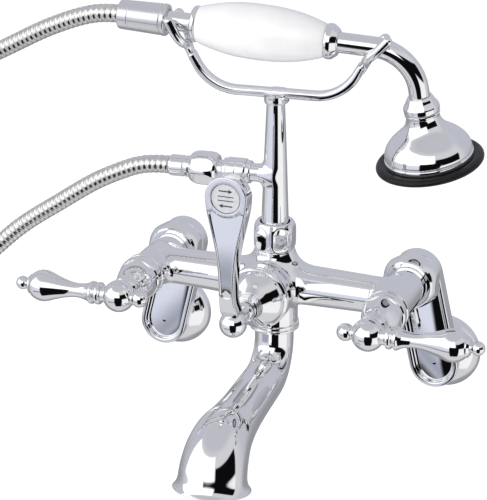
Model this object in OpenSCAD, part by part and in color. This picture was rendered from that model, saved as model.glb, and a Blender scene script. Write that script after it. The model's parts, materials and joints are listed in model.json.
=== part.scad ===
/* [Valve body] */
// Distance between the two valve axes
valve_spacing = 178; // [176:1:180]
// Height of the crossbar's axis above the wall inlets
hub_height = 65.5; // [64:0.5:67]
// Distance of the crossbar's axis from the wall
hub_reach = 72; // [71.5:0.5:73]
// Outer radius of a valve barrel
barrel_r = 13.5; // [13.3:0.1:13.7]
// Radius of the crossbar where it meets the barrels
bar_end_r = 12.8; // [12:0.1:13]
// Radius of the crossbar where it meets the hub
bar_hub_r = 14; // [13.5:0.1:14.5]
// Radius of the hub at its lower end
hub_r = 16.7; // [16.4:0.1:17]

/* [Wall arms] */
// Outward offset of each wall inlet from its valve axis
arm_shift = 15.5; // [15:0.1:16]
// Radius of the arm's round ends
arm_r = 17.5; // [17.2:0.1:17.8]
// Radius of the domed flange at the wall
flange_r = 27; // [26:0.5:28]
// Radius of the threaded wall inlet
inlet_r = 9.6; // [9.4:0.1:9.8]

/* [Riser and cradle] */
// Turn of the riser, tee and cradle about the column's axis
riser_turn = 5.7; // [5:0.1:6]
// Height of the tee outlet above the crossbar's axis
tee_z = 78; // [76:1:80]
// Height of the cradle bar above the crossbar's axis
yoke_z = 135.8; // [134:0.2:137]

/* [Spout] */
// Wall thickness of the spout
spout_wall = 2.2; // [1.8:0.1:2.6]

/* [Handles and diverter] */
// Distance of the handle hubs in front of the crossbar's axis
handle_reach = 65.3; // [65:0.1:66]
// Droop of the left lever in degrees
left_trim = -0.8; // [-2:0.1:2]
// Rise of the right lever in degrees
right_trim = 1.8; // [-2:0.1:2]
// Radius of the spindles
spindle_r = 3; // [2.8:0.1:3.2]
// Running clearance on the radius of every turning fit
run = 0.05; // [0.03:0.01:0.08]

/* [Handset] */
// Height of the handset's axis above the crossbar's axis, at the column
handset_z = 176; // [175.5:0.1:176.5]
// Slope of the handset down towards the head, in degrees
handset_tilt = 3.3; // [3:0.1:3.6]
// Roll of the handset towards the wall, in degrees
handset_roll = 8.6; // [7:0.1:10]
// Radius of the handset tube
neck_r = 6.9; // [6.7:0.1:7]
// Bend radius of the gooseneck
bend_r = 32; // [31:0.5:33]
// Bend angle of the gooseneck
bend_angle = 78; // [77:0.5:79]
// Radius of the rubber ring of the head
bumper_r = 36.6; // [36:0.1:37]

/* [Hose] */
// Outer radius of the hose
hose_r = 6.3; // [6.2:0.1:6.5]

/* [Hidden] */
$fn = 64;

CHROME = [0.80, 0.81, 0.83];
BRASS = [0.78, 0.62, 0.33];
RUBBER = [0.05, 0.05, 0.055];
PORCELAIN = [0.96, 0.96, 0.95];
STEEL = [0.70, 0.69, 0.67];
SATIN = [0.78, 0.78, 0.78];
CERAMIC = [0.90, 0.89, 0.86];

half = valve_spacing / 2;
arm_len = sqrt(arm_shift * arm_shift + hub_height * hub_height);
arm_swing = atan(arm_shift / hub_height);
gap = 0.3;
eps = 0.01;

// Forward distances from the crossbar's axis along a valve
barrel_front = 21;
barrel_back = -32;
seat_f = -4;
cartridge_front = 12;
washer_t = 2;
arm_flange_t = 2;
arm_front = -42;
arm_back = -53;
pocket_depth = 4.4;
arm_rim = 4.2;
bonnet_nose = 50;

// Places of the cradle, riser and spout relative to the crossbar's axis
column_base = 40;
column_top = 131;
nut_base = 25;
nut_top = 45;
hub_bottom = -34.5;

// Spout: a drop, a bend forward, a reach, a bend down and a short tail
spout_drop = 7.5;
spout_bend_1 = 26;
spout_slope = 6;
spout_reach = 69;
spout_bend_2 = 28;
spout_end_slope = 79;
spout_tail = 6;

// Outer radius of the spout against the distance along its middle
SPOUT_RADII = [
    [0, 13.7], [20, 13.8], [45, 14.8], [80, 15.6], [100, 17], [115, 19.2], [130, 21.4],
    [145, 22.6], [152, 23.2], [156.5, 26.4]
];

// Middle of the free hose, in the row's own frame
HOSE_ROUTE = [
    [-74.8, -79.5, 143.5], [-82.8, -80.3, 143.3], [-94.8, -81.4, 141.7], [-108, -82.6, 136.9],
    [-130, -85, 125.9], [-157, -87.5, 107.9], [-184, -90, 89.1], [-205, -92, 70.5],
    [-230, -94, 45.5], [-258, -96, 11.5], [-280, -97, -30.5], [-294, -98, -82.5], [-301, -98, -140.5],
    [-304, -98, -199.5], [-307, -98, -254.5], [-316, -97, -306.5], [-334, -97, -342.5],
    [-362, -96, -360.5], [-392, -96, -352.5], [-414, -95, -326.5], [-427, -95, -286.5],
    [-434, -94, -234.5], [-437, -93, -174.5], [-434, -92, -116.5], [-426, -91, -62.5],
    [-411, -90, -8.5], [-389, -89, 43.5], [-360, -88, 91.5], [-326, -87, 132.5], [-288, -86, 165.5],
    [-245, -85, 191.5], [-201, -84, 213.5], [-170, -84, 229.9], [-153, -84, 237.7],
    [-139, -84, 243.1], [-126, -83.8, 246.7], [-114.4, -83.3, 247.9], [-108.5, -82.8, 247.8]
];
HOSE_SIDES = 10;
HOSE_RINGS_PER_SPAN = 2;

// ---------- helpers ----------

// Frame of the crossbar: its axis crosses the column's axis at the origin
module at_hub() { translate([0, -hub_reach, hub_height]) children(); }

// Frame of a valve: +Z points away from the wall
module at_valve(side) {
    at_hub() translate([side * half, 0, 0]) rotate([90, 0, 0]) children();
}

// Frame of the diverter: +Z points away from the wall
module at_diverter() { at_hub() rotate([90, 0, 0]) children(); }

// Frame of the riser: +Z up, -X towards the tee outlet
module at_riser() { at_hub() rotate([0, 0, riser_turn]) children(); }

// Frame of the tee outlet: +Z points out of the outlet
module at_tee() { at_riser() translate([0, 0, tee_z]) rotate([0, -90, 0]) children(); }

// Frame of the handset: +X towards the head, -Z towards its face
module at_handset() {
    at_riser() translate([0, 0, handset_z]) rotate([0, handset_tilt, 0])
        rotate([handset_roll, 0, 0]) children();
}

// Turns the lathe's +Z to the handset's +X
module along_handset() { at_handset() rotate([0, 90, 0]) children(); }

// Frame of the head: +Z points out of its face, from the end of the bend
module at_head() {
    at_handset() translate([bend_start, 0, -bend_r]) rotate([0, bend_angle, 0])
        translate([0, 0, bend_r]) rotate([0, 90, 0]) children();
}
bend_start = 66;

// Ring or disc of revolution from heights z0 to z1
module ring(r_out, r_in, z0, z1) {
    translate([0, 0, z0]) difference() {
        cylinder(r = r_out, h = z1 - z0);
        if (r_in > 0) translate([0, 0, -1]) cylinder(r = r_in, h = z1 - z0 + 2);
    }
}

// Solid of revolution through [radius, height] points, closed to the axis
module lathe(points) {
    rotate_extrude()
        polygon(concat([[0, points[0][1]]], points, [[0, points[len(points) - 1][1]]]));
}

// Hexagon with round corners: flats dressed onto a turned nut
module dressed_hex(across_flats, z0, z1) {
    translate([0, 0, z0]) cylinder(r = across_flats / 2 / cos(30), h = z1 - z0, $fn = 6);
}

// Catmull-Rom point between p1 and p2
function spline(p0, p1, p2, p3, t) =
    0.5 * (2 * p1 + (p2 - p0) * t + (2 * p0 - 5 * p1 + 4 * p2 - p3) * t * t
    + (3 * p1 - p0 - 3 * p2 + p3) * t * t * t);

// Smooth line through points, with n steps between neighbours
function smooth_line(p, n) = [
    for (i = [0 : len(p) - 2], k = [0 : (i == len(p) - 2 ? n : n - 1)])
        spline(p[max(i - 1, 0)], p[i], p[i + 1], p[min(i + 2, len(p) - 1)], k / n)
];

function unit(v) = v / norm(v);

// Points of an arc of radius r about centre, from angle a0 to a1, in the XZ plane
function arc_points(centre, r, a0, a1, n) = [
    for (i = [0 : n]) let (a = a0 + (a1 - a0) * i / n) centre + r * [cos(a), 0, sin(a)]
];

// Distances along a line of points
function run_lengths(p, i = 0, sum = 0) =
    i == len(p) - 1 ? [sum] : concat([sum], run_lengths(p, i + 1, sum + norm(p[i + 1] - p[i])));

// Direction of a line of 3-D points at point i
function heading(p, i) = unit(p[min(i + 1, len(p) - 1)] - p[max(i - 1, 0)]);

// One ring of points round p[i], with half width a along side and b across it
function loop_points(p, i, a, b, side, sides) =
    let (t = heading(p, i), v = unit(cross(t, side)), u = cross(v, t))
    [for (k = [0 : sides - 1]) p[i] + a * cos(360 * k / sides) * u
        + b * sin(360 * k / sides) * v];

// Closed solid swept along p; a and b list its half widths at each point
module swept(p, a, b, side, sides) {
    last = len(p) - 1;
    points = [for (i = [0 : last]) each loop_points(p, i, a[i], b[i], side, sides)];
    walls = [for (i = [0 : last - 1], k = [0 : sides - 1])
        [i * sides + k, (i + 1) * sides + k,
         (i + 1) * sides + (k + 1) % sides, i * sides + (k + 1) % sides]];
    first_cap = [[for (k = [0 : sides - 1]) k]];
    last_cap = [[for (k = [sides - 1 : -1 : 0]) last * sides + k]];
    polyhedron(points, concat(walls, first_cap, last_cap), convexity = 6);
}

// ---------- valve body ----------

module valve_barrel(side) {
    translate([side * half, 0, 0]) rotate([90, 0, 0]) {
        translate([0, 0, barrel_back]) cylinder(r = barrel_r, h = barrel_front - barrel_back);
    }
}

module crossbar() {
    flare = 24;
    rotate([0, 90, 0]) rotate_extrude()
        polygon([[0, -half], [bar_end_r, -half], [bar_end_r, -half + 12],
            [bar_hub_r, -flare], [bar_hub_r + 3, -hub_r], [bar_hub_r + 3, hub_r],
            [bar_hub_r, flare], [bar_end_r, half - 12], [bar_end_r, half], [0, half]]);
}

module hub() {
    rotate_extrude() polygon([
        [0, hub_bottom + 3.5], [hub_r - 0.6, hub_bottom + 3.5], [hub_r, -10], [hub_r + 2, 4],
        [hub_r + 1, 14], [14.6, 20], [13.8, nut_base - 0.1], [11.4, nut_base - 0.1],
        [11.4, nut_top - 9], [0, nut_top - 9]]);
    ring(hub_r, 0, hub_bottom, hub_bottom + 3.6);
}

module diverter_boss() {
    rotate([90, 0, 0]) rotate_extrude()
        polygon([[0, 0], [17, 0], [17, 14], [20.8, 22], [21.8, 26], [21.8, 33], [0, 33]]);
}

module valve_body() {
    color(CHROME) at_hub() difference() {
        union() {
            crossbar();
            hub();
            diverter_boss();
            for (side = [-1, 1]) valve_barrel(side);
        }
        // Cartridge bores and the waterways behind them
        for (side = [-1, 1]) translate([side * half, 0, 0]) rotate([90, 0, 0]) {
            translate([0, 0, seat_f - washer_t]) cylinder(r = 11, h = 40);
            translate([0, 0, barrel_back - 1]) cylinder(r = 7, h = 40);
        }
        // Waterways through the crossbar
        rotate([0, 90, 0]) translate([0, 0, -half]) cylinder(r = 6, h = 2 * half);
        // Diverter chamber
        rotate([90, 0, 0]) translate([0, 0, -12]) cylinder(r = 12, h = 50);
        // Waterways up to the riser and down to the spout
        cylinder(r = 6, h = 60);
        translate([0, 0, hub_bottom - 1]) cylinder(r = 7, h = 40);
        translate([0, 0, hub_bottom - 1]) cylinder(r = 11, h = 15);
    }
}

// ---------- valves ----------

module bonnet(side) {
    color(CHROME) at_valve(side) difference() {
        union() {
            ring(10.95, 0, cartridge_front, barrel_front);
            lathe([[14.2, barrel_front], [15.1, barrel_front + 0.8], [15.1, 24.5],
                [14.4, 25.2], [14.4, 27], [15.2, 27.8], [15.2, 32], [14.4, 33]]);
            intersection() {
                lathe([[14.4, 33], [14, 36], [13, 40.5], [11.6, 44.5],
                    [10.2, 47.4], [9.4, bonnet_nose]]);
                dressed_hex(27, 30, 60);
            }
        }
        translate([0, 0, cartridge_front - 1]) cylinder(r = spindle_r + run, h = 60);
    }
}

module cartridge(side) {
    color(BRASS) at_valve(side) difference() {
        ring(10.9, 0, seat_f, cartridge_front);
        translate([0, 0, -0.6]) cylinder(r = 7.4, h = 3.8);
        translate([0, 0, 2]) cylinder(r = spindle_r + run, h = 20);
        translate([0, 0, seat_f - 1]) cylinder(r = 3.4, h = 5);
    }
}

module cartridge_seals() {
    color(RUBBER) for (side = [-1, 1]) at_valve(side) ring(10.9, 7, seat_f - washer_t, seat_f);
}

module union_nut(side) {
    lip = barrel_back - washer_t - arm_flange_t - 2 * gap;
    color(CHROME) at_valve(side) difference() {
        intersection() {
            lathe([[17.6, -38.4], [19.4, -38.4], [20.4, -37], [20.4, -33], [19.6, -29.5],
                [18.4, -26.5], [17.2, -24.2], [16.2, -23.8]]);
            dressed_hex(37.6, -40, -20);
        }
        translate([0, 0, lip]) cylinder(r = barrel_r + 0.05, h = 30);
        translate([0, 0, -50]) cylinder(r = 10 + run, h = 40);
    }
}

module union_washers() {
    color(RUBBER) for (side = [-1, 1]) at_valve(side)
        ring(barrel_r - 1, 7, barrel_back - washer_t, barrel_back);
}

// ---------- wall arms ----------

// Slot shape from the valve axis to the wall axis
module slot_bar(r, z0, z1) {
    translate([0, 0, z0]) {
        cylinder(r = r, h = z1 - z0);
        translate([0, -arm_len, 0]) cylinder(r = r, h = z1 - z0);
        translate([-r, -arm_len, 0]) cube([2 * r, arm_len, z1 - z0]);
    }
}

module at_arm(side) { at_valve(side) rotate([0, 0, side * arm_swing]) children(); }

module wall_arm(side) {
    flange_back = barrel_back - washer_t - gap;
    seal_groove = 1;
    color(CHROME) at_arm(side) difference() {
        union() {
            difference() {
                slot_bar(arm_r, arm_back, arm_front);
                slot_bar(arm_r - arm_rim, arm_front - pocket_depth, arm_front + 1);
            }
            ring(12.4, 0, arm_front - pocket_depth, -39);
            ring(10, 0, arm_front - pocket_depth, flange_back - arm_flange_t + eps);
            ring(barrel_r - 1.2, 0, flange_back - arm_flange_t, flange_back);
            translate([0, -arm_len, 0]) ring(13.4, 0, -hub_reach, arm_back + 1);
        }
        translate([0, 0, -52]) cylinder(r = 5.5, h = 30);
        translate([0, 0, flange_back - seal_groove]) cylinder(r = 9, h = 5);
        translate([0, 0, -49.7]) rotate([90, 0, 0]) cylinder(r = 2.6, h = arm_len);
        translate([0, -arm_len, -hub_reach - 1]) cylinder(r = inlet_r, h = 15);
        translate([0, -arm_len, -60]) cylinder(r = 6, h = 10);
    }
}

module arm_seal(side) {
    flange_back = barrel_back - washer_t - gap;
    color(RUBBER) at_arm(side) ring(8.95, 5.5, flange_back - 1, flange_back);
}

module wall_flange(side) {
    color(CHROME) at_arm(side) translate([0, -arm_len, 0]) difference() {
        rotate_extrude() polygon([
            [0, -hub_reach], [flange_r, -hub_reach], [flange_r, -hub_reach + 3],
            [flange_r - 0.8, -hub_reach + 6], [flange_r - 3, -hub_reach + 10.5],
            [flange_r - 6.5, -hub_reach + 15], [flange_r - 11, arm_back - 0.05],
            [0, arm_back - 0.05]]);
        translate([0, 0, -hub_reach - 1]) cylinder(r = 13.45, h = 30);
        translate([0, 0, -hub_reach - eps]) rotate_extrude() polygon([
            [0, 0], [flange_r - 1.6, 0], [flange_r - 1.6, 4], [flange_r - 4, 9],
            [flange_r - 7, 12], [0, 12]]);
    }
}

// ---------- handles ----------

// Where the lock ball's flat face meets the hub, behind the lever
lock_seat = -11.4;

module at_lever(side) {
    trim = side < 0 ? left_trim : right_trim;
    at_valve(side) translate([0, 0, handle_reach]) rotate([0, 0, side * trim])
        rotate([0, side * 90, 0]) children();
}

module handle_hub(side) {
    color(CHROME) difference() {
        union() {
            at_valve(side) {
                translate([0, 0, handle_reach]) sphere(r = 11.1);
                lathe([[9.2, bonnet_nose + gap], [10, bonnet_nose + 1.2], [9.9, 55],
                    [9.6, 58], [8, 60]]);
            }
            at_lever(side) {
                ring(5.6, 0, 9, 12.6);
                ring(4.4, 0, lock_seat, -9);
            }
        }
        at_valve(side) cylinder(r = spindle_r, h = handle_reach + 4);
        at_lever(side) {
            translate([0, 0, 6]) cylinder(r = 2.5, h = 10);
            translate([0, 0, -16]) cylinder(r = 2, h = 12.9);
        }
    }
}

module lever(side) {
    color(CHROME) at_lever(side) {
        ring(2.5, 0, 6, 14);
        lathe([[6, 12.6], [7.6, 13.6], [7.9, 14.8], [7.6, 16], [6.4, 17], [6.6, 18.2],
            [8, 19], [8, 20.2], [7.2, 21.4], [6, 24], [5.2, 28], [5, 32], [5.6, 37],
            [6.9, 42.5], [8.8, 48.5], [10.4, 53], [11, 56.5], [10.6, 60], [9.2, 63.4],
            [6.8, 66.4], [4.2, 68.6], [3.4, 69.6]]);
        translate([0, 0, 73.4]) sphere(r = 4.7);
    }
}

module lock_ball(side) {
    color(CHROME) at_lever(side) {
        difference() {
            translate([0, 0, -15.4]) sphere(r = 6);
            translate([0, 0, lock_seat]) cylinder(r = 6, h = 6);
        }
        ring(2, 0, -14, -3.2);
    }
}

module spindle(side) {
    color(BRASS) at_valve(side) ring(spindle_r, 0, 2.6, handle_reach + 3.5);
}

module ceramic_disc(side) {
    color(CERAMIC) at_valve(side) difference() {
        ring(7.35, 0, -0.5, 2.6);
        translate([2.2, 0, -2]) cylinder(r = 2, h = 3);
    }
}

// ---------- diverter ----------

stem_r = 4;
gland_front = 57;
lever_ball_f = 79;

module diverter_bonnet() {
    color(CHROME) at_diverter() difference() {
        union() {
            ring(11.95, 0, 21, 33);
            lathe([[21.8, 33], [21.8, 35], [20.6, 36], [20.2, 37.4], [18.4, 41], [15.4, 44.6],
                [12.4, 47.4], [9.8, bonnet_nose]]);
        }
        translate([0, 0, 20]) cylinder(r = stem_r + run, h = 40);
    }
}

module diverter_gland_nut() {
    color(CHROME) at_diverter() difference() {
        lathe([[8.6, bonnet_nose], [9, bonnet_nose + 1], [9, 54], [7.6, 55], [7.6, gland_front]]);
        translate([0, 0, 40]) cylinder(r = stem_r + run, h = 40);
    }
}

module diverter_stem() {
    color(BRASS) at_diverter() difference() {
        ring(stem_r, 0, 10, lever_ball_f + 3);
        for (f = [24, 29]) ring(stem_r + 1, stem_r - 1, f, f + 1.9);
    }
}

module diverter_seals() {
    color(RUBBER) at_diverter() for (f = [24, 29]) ring(stem_r, stem_r - 1, f, f + 1.9);
}

module diverter_plug() {
    color(BRASS) at_diverter() difference() {
        ring(12 - run, 0, -11.6, 20.6);
        translate([0, 0, 10]) cylinder(r = stem_r, h = 20);
        rotate([90, 0, 0]) cylinder(r = 5, h = 40, center = true);
        rotate([0, 90, 0]) cylinder(r = 5, h = 20);
    }
}

lever_front = 92;
lever_thick = 8.4;
disc_z = 91;

module diverter_lever() {
    back = lever_front - lever_thick;
    color(CHROME) at_diverter() difference() {
        union() {
            translate([0, 0, lever_ball_f]) sphere(r = 9.2);
            ring(6.4, 0, gland_front + gap, lever_ball_f - 5);
            hull() {
                translate([0, 9, lever_ball_f - 6]) cylinder(r = 5.4, h = 11, $fn = 32);
                translate([0, 26, back]) cylinder(r = 4.8, h = lever_thick, $fn = 32);
            }
            hull() {
                translate([0, 26, back]) cylinder(r = 4.8, h = lever_thick, $fn = 32);
                translate([0, 58, back]) cylinder(r = 7.6, h = lever_thick, $fn = 32);
            }
            hull() {
                translate([0, 58, back]) cylinder(r = 7.6, h = lever_thick, $fn = 32);
                translate([0, disc_z, back]) cylinder(r = 14.4, h = lever_thick, $fn = 48);
            }
        }
        translate([0, 0, 50]) cylinder(r = stem_r, h = lever_ball_f - 47);
        translate([0, disc_z, lever_front - 1.4]) cylinder(r = 11.2, h = 5);
        translate([0, 0, lever_ball_f]) rotate([90, 0, 0]) cylinder(r = 1.6, h = 12);
    }
}

module diverter_plate() {
    color(SATIN) at_diverter() translate([0, disc_z, 0])
        ring(11.15, 0, lever_front - 1.4, lever_front - 0.4);
}

module diverter_lever_screw() {
    color(STEEL) at_diverter() translate([0, 0, lever_ball_f]) rotate([90, 0, 0])
        ring(1.55, 0, stem_r + 0.05, 8.6);
}

// ---------- spout ----------

// Middle of the spout in its own plane: X forward, Z up
function spout_path() =
    let (
        c1 = [spout_bend_1, 0, hub_bottom - spout_drop],
        first = arc_points(c1, spout_bend_1, 180, 270 - spout_slope, 9),
        out = [cos(spout_slope), 0, -sin(spout_slope)],
        p1 = first[9] + spout_reach * out,
        c2 = p1 - spout_bend_2 * [sin(spout_slope), 0, cos(spout_slope)],
        second = arc_points(c2, spout_bend_2, 90 - spout_slope, 90 - spout_end_slope, 9),
        end = second[9] + spout_tail * [cos(spout_end_slope), 0, -sin(spout_end_slope)]
    )
    concat([[0, 0, hub_bottom]], first,
        [for (k = [1 : 4]) first[9] + (p1 - first[9]) * k / 5], second,
        [(second[9] + end) / 2, end]);

module spout() {
    path = spout_path();
    s = run_lengths(path);
    last = len(path) - 1;
    r = [for (d = s) lookup(d, SPOUT_RADII)];
    mouth = path[last] + 4 * heading(path, last);
    bore = concat([path[0] + [0, 0, 2]], path, [mouth]);
    bore_r = concat([8.6], [for (i = [0 : last]) i == 0 ? 8.6 : r[i] - spout_wall],
        [r[last] - spout_wall + 2]);
    color(CHROME) at_hub() {
        rotate([0, 0, -90]) difference() {
            swept(path, r, r, [0, 1, 0], 32);
            swept(bore, bore_r, bore_r, [0, 1, 0], 32);
        }
        ring(10.95, 8.6, hub_bottom, hub_bottom + 12);
    }
}

module spout_washer() {
    color(RUBBER) at_hub() ring(10.95, 8.6, hub_bottom + 12, hub_bottom + 14);
}

// ---------- riser ----------

module riser_column() {
    color(CHROME) difference() {
        union() {
            at_riser() lathe([[10.2, nut_top - 7], [10.2, column_base], [9.9, 42], [9.4, 45],
                [9.3, 49], [7.9, 88], [6.7, 118], [6.1, column_top]]);
            at_tee() lathe([[7.4, 0], [7.2, 8], [6.3, 10], [6.3, 17], [8, 17.6], [8, 20]]);
        }
        at_riser() translate([0, 0, nut_top - 8]) cylinder(r = 4, h = tee_z - nut_top + 12);
        at_tee() cylinder(r = 4, h = 30);
    }
}

module riser_nut() {
    color(CHROME) at_riser() difference() {
        intersection() {
            lathe([[13.2, nut_base], [14.4, 26.4], [14.8, 30], [14.8, 38], [14, 42.4],
                [12.2, nut_top], [11, nut_top]]);
            dressed_hex(27.4, nut_base - 1, nut_top + 1);
        }
        translate([0, 0, nut_base - 1]) cylinder(r = 11.45, h = 17.4);
        translate([0, 0, nut_base]) cylinder(r = 10.4, h = 30);
    }
}

module riser_washer() {
    color(RUBBER) at_riser() ring(11.3, 6, nut_top - 9, nut_top - 7);
}

module tee_union() {
    color(CHROME) at_tee() difference() {
        lathe([[8.6, 20], [9.1, 20.8], [9.1, 33], [8.4, 34], [8.4, 36], [6.4, 36.6], [6.4, 48],
            [6.4, 50]]);
        translate([0, 0, 10]) cylinder(r = 4, h = 50);
    }
}

module hose_washer() {
    color(RUBBER) at_tee() ring(6.4, 4, 50, 52);
}

module hose_nut() {
    color(CHROME) at_tee() difference() {
        intersection() {
            lathe([[8, 40], [10, 40.4], [11.6, 43.6], [11.6, 55], [10.6, 58.6], [7.6, 60]]);
            dressed_hex(21.8, 38, 62);
        }
        translate([0, 0, 30]) cylinder(r = 6.45, h = 24);
        translate([0, 0, 30]) cylinder(r = 5.6, h = 40);
    }
}

module hose_ferrule() {
    color(CHROME) at_tee() difference() {
        lathe([[5.5, 54], [5.5, 60], [7.2, 60], [7.4, 61], [7.4, 74], [7, 75]]);
        translate([0, 0, 50]) cylinder(r = 3.6, h = 30);
    }
}

// ---------- cradle ----------

yoke_flat = 27;
yoke_bend = 32;
yoke_rise = 62;
prong_r = 3.1;

// Two prongs that hold the handset's tube; seat_z is the height of their crotch, and near_out
// and far_out are how far the prong nearer the room and the one nearer the wall lean outwards
module fork(side, seat_z, near_out, far_out) {
    for (front = [-1, 1]) {
        tip_out = front < 0 ? near_out : far_out;
        tip = [side * (63 + tip_out), front * 12, seat_z + 15.5];
        p = smooth_line([
            [side * 57.5, 0, 155], [side * 61, front * 1.6, seat_z - 3],
            [side * 63, front * 8.4, seat_z + 1], [side * (63 + tip_out * 0.45), front * 11.4, seat_z + 7],
            tip], 3);
        w = [for (q = p) prong_r];
        swept(p, w, w, [0, 1, 0.02], 12);
        translate(tip) sphere(r = 3.5, $fn = 20);
    }
}

module cradle() {
    bend_centre = [yoke_flat, 0, yoke_z + yoke_bend];
    half_path = arc_points(bend_centre, yoke_bend, 270 + yoke_rise, 270, 9);
    tail = half_path[0] + 7.5 * [cos(yoke_rise), 0, sin(yoke_rise)];
    right = concat([tail], half_path);
    left = [for (i = [len(right) - 1 : -1 : 0]) [-right[i][0], 0, right[i][2]]];
    p = concat(right, [[9, 0, yoke_z], [-9, 0, yoke_z]], left);
    high = [for (q = p) 3.3];
    deep = [for (q = p) 4.4];
    color(CHROME) at_riser() difference() {
        union() {
            swept(p, deep, high, [0, 1, 0], 16);
            fork(-1, 167, 8, 8);
            fork(1, 164, 14, 8);
            lathe([[7.2, 128.6], [8, 129.6], [8, 136]]);
            translate([0, 0, 133]) rotate([90, 0, 65]) ring(3.2, 0, 0, 9.6);
        }
        translate([0, 0, 120]) cylinder(r = 6.15, h = column_top - 120 + 0.05);
        translate([0, 0, 133]) rotate([90, 0, 65]) cylinder(r = 1.6, h = 20);
    }
}

module cradle_screw() {
    color(STEEL) at_riser() translate([0, 0, 133]) rotate([90, 0, 65]) ring(1.55, 0, 6.4, 9.2);
}

// ---------- handset ----------

module handset_grip() {
    color(PORCELAIN) along_handset() difference() {
        lathe([[11.8, -54], [12.6, -52.6], [14.6, -45], [16.6, -36], [18, -26], [18.6, -14],
            [18.4, -2], [17.4, 9], [15.6, 19], [13.4, 27], [11.2, 33], [10.6, 34]]);
        translate([0, 0, -60]) cylinder(r = neck_r + 0.1, h = 120);
    }
}

module handset_rear_ring() {
    color(CHROME) along_handset() difference() {
        lathe([[8.4, -58.4], [10.8, -57.6], [12.2, -56], [12.2, -54]]);
        translate([0, 0, -70]) cylinder(r = 6.55, h = 40);
    }
}

module handset_front_collar() {
    color(CHROME) along_handset() difference() {
        lathe([[11, 34], [11.6, 35], [11.6, 37], [10.6, 39], [8.6, 42.6], [7.6, 43]]);
        translate([0, 0, 20]) cylinder(r = neck_r + 0.05, h = 40);
    }
}

module handset_neck() {
    color(CHROME) along_handset() difference() {
        union() {
            ring(6.5, 0, -77, -54);
            ring(neck_r, 0, -54, -40);
            ring(8.2, 0, -83, -77);
        }
        translate([0, 0, -90]) cylinder(r = 4, h = 60);
    }
}

// Middle of the gooseneck, with both ends run out by extra
function gooseneck_path(extra) =
    let (
        bend = arc_points([bend_start, 0, -bend_r], bend_r, 90, 90 - bend_angle, 13),
        out = [cos(bend_angle), 0, -sin(bend_angle)]
    )
    concat([[-40 - extra, 0, 0]], [for (x = [-20 : 20 : 60]) [x, 0, 0]], bend,
        [bend[13] + (9 + extra) * out]);

module handset_gooseneck() {
    outside = gooseneck_path(0);
    inside = gooseneck_path(1);
    color(CHROME) at_handset() difference() {
        swept(outside, [for (q = outside) neck_r], [for (q = outside) neck_r], [0, 1, 0], 28);
        swept(inside, [for (q = inside) 5], [for (q = inside) 5], [0, 1, 0], 28);
    }
}

module head_nut() {
    color(CHROME) at_head() difference() {
        lathe([[7.6, 5.4], [8.6, 6], [10.2, 9.4], [11.8, 12], [12.1, 13.2], [12.1, 15.4],
            [11.2, 16.4]]);
        cylinder(r = neck_r + 0.05, h = 9);
        cylinder(r = 5, h = 20);
    }
}

module shower_head() {
    color(CHROME) at_head() difference() {
        lathe([[12, 16.4], [11.9, 17.6], [11.3, 19.4], [11.6, 22], [13, 25.4], [15.8, 28.8],
            [19.8, 32], [24, 35.4], [27, 38.8], [28.8, 42], [29.6, 45], [29.4, 47]]);
        translate([0, 0, 10]) cylinder(r = 5, h = 20);
        translate([0, 0, 22]) rotate_extrude()
            polygon([[0, 0], [7.4, 0], [9, 4], [12, 7.6], [17, 11.4], [22, 15.4], [26.4, 21],
                [26.4, 26], [0, 26]]);
    }
}

module head_band() {
    color(CHROME) at_head() difference() {
        lathe([[29.4, 47], [30.2, 47.6], [30.2, 50.6], [29.4, 51]]);
        translate([0, 0, 40]) cylinder(r = 26.4, h = 20);
    }
}

module head_bumper() {
    color(RUBBER) at_head() difference() {
        lathe([[30, 51], [bumper_r - 3.2, 50.6], [bumper_r - 0.8, 51.4], [bumper_r, 53],
            [bumper_r - 0.7, 54.8], [bumper_r - 3, 55.6], [29.6, 55.2]]);
        translate([0, 0, 40]) cylinder(r = 26.5, h = 30);
    }
}

module spray_plate() {
    rows = [[0, 1], [5, 6], [10, 12], [15, 18], [20, 24]];
    color(SATIN) at_head() difference() {
        ring(26.3, 0, 50.6, 53.4);
        for (row = rows, k = [0 : row[1] - 1]) rotate([0, 0, 360 * k / row[1]])
            translate([row[0], 0, 50]) cylinder(r = 0.8, h = 5);
    }
}

module hose_sleeve() {
    color(SATIN) along_handset() difference() {
        lathe([[9.6, -108.2], [9.9, -107.4], [10.7, -79], [10.9, -78.4], [10.9, -76], [10.2, -75]]);
        translate([0, 0, -83.05]) cylinder(r = 8.25, h = 6.05);
        translate([0, 0, -78]) cylinder(r = 6.55, h = 10);
        translate([0, 0, -115]) cylinder(r = 4, h = 60);
        translate([0, 0, -85.05]) cylinder(r = 8.25, h = 4);
    }
}

module sleeve_washer() {
    color(RUBBER) along_handset() ring(8.2, 4, -85, -83);
}

// ---------- hose ----------

module hose() {
    p = smooth_line(HOSE_ROUTE, HOSE_RINGS_PER_SPAN);
    w = [for (q = p) hose_r];
    color(STEEL) swept(p, w, w, [0, 1, 0], HOSE_SIDES);
}

// ---------- nodes ----------

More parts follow.
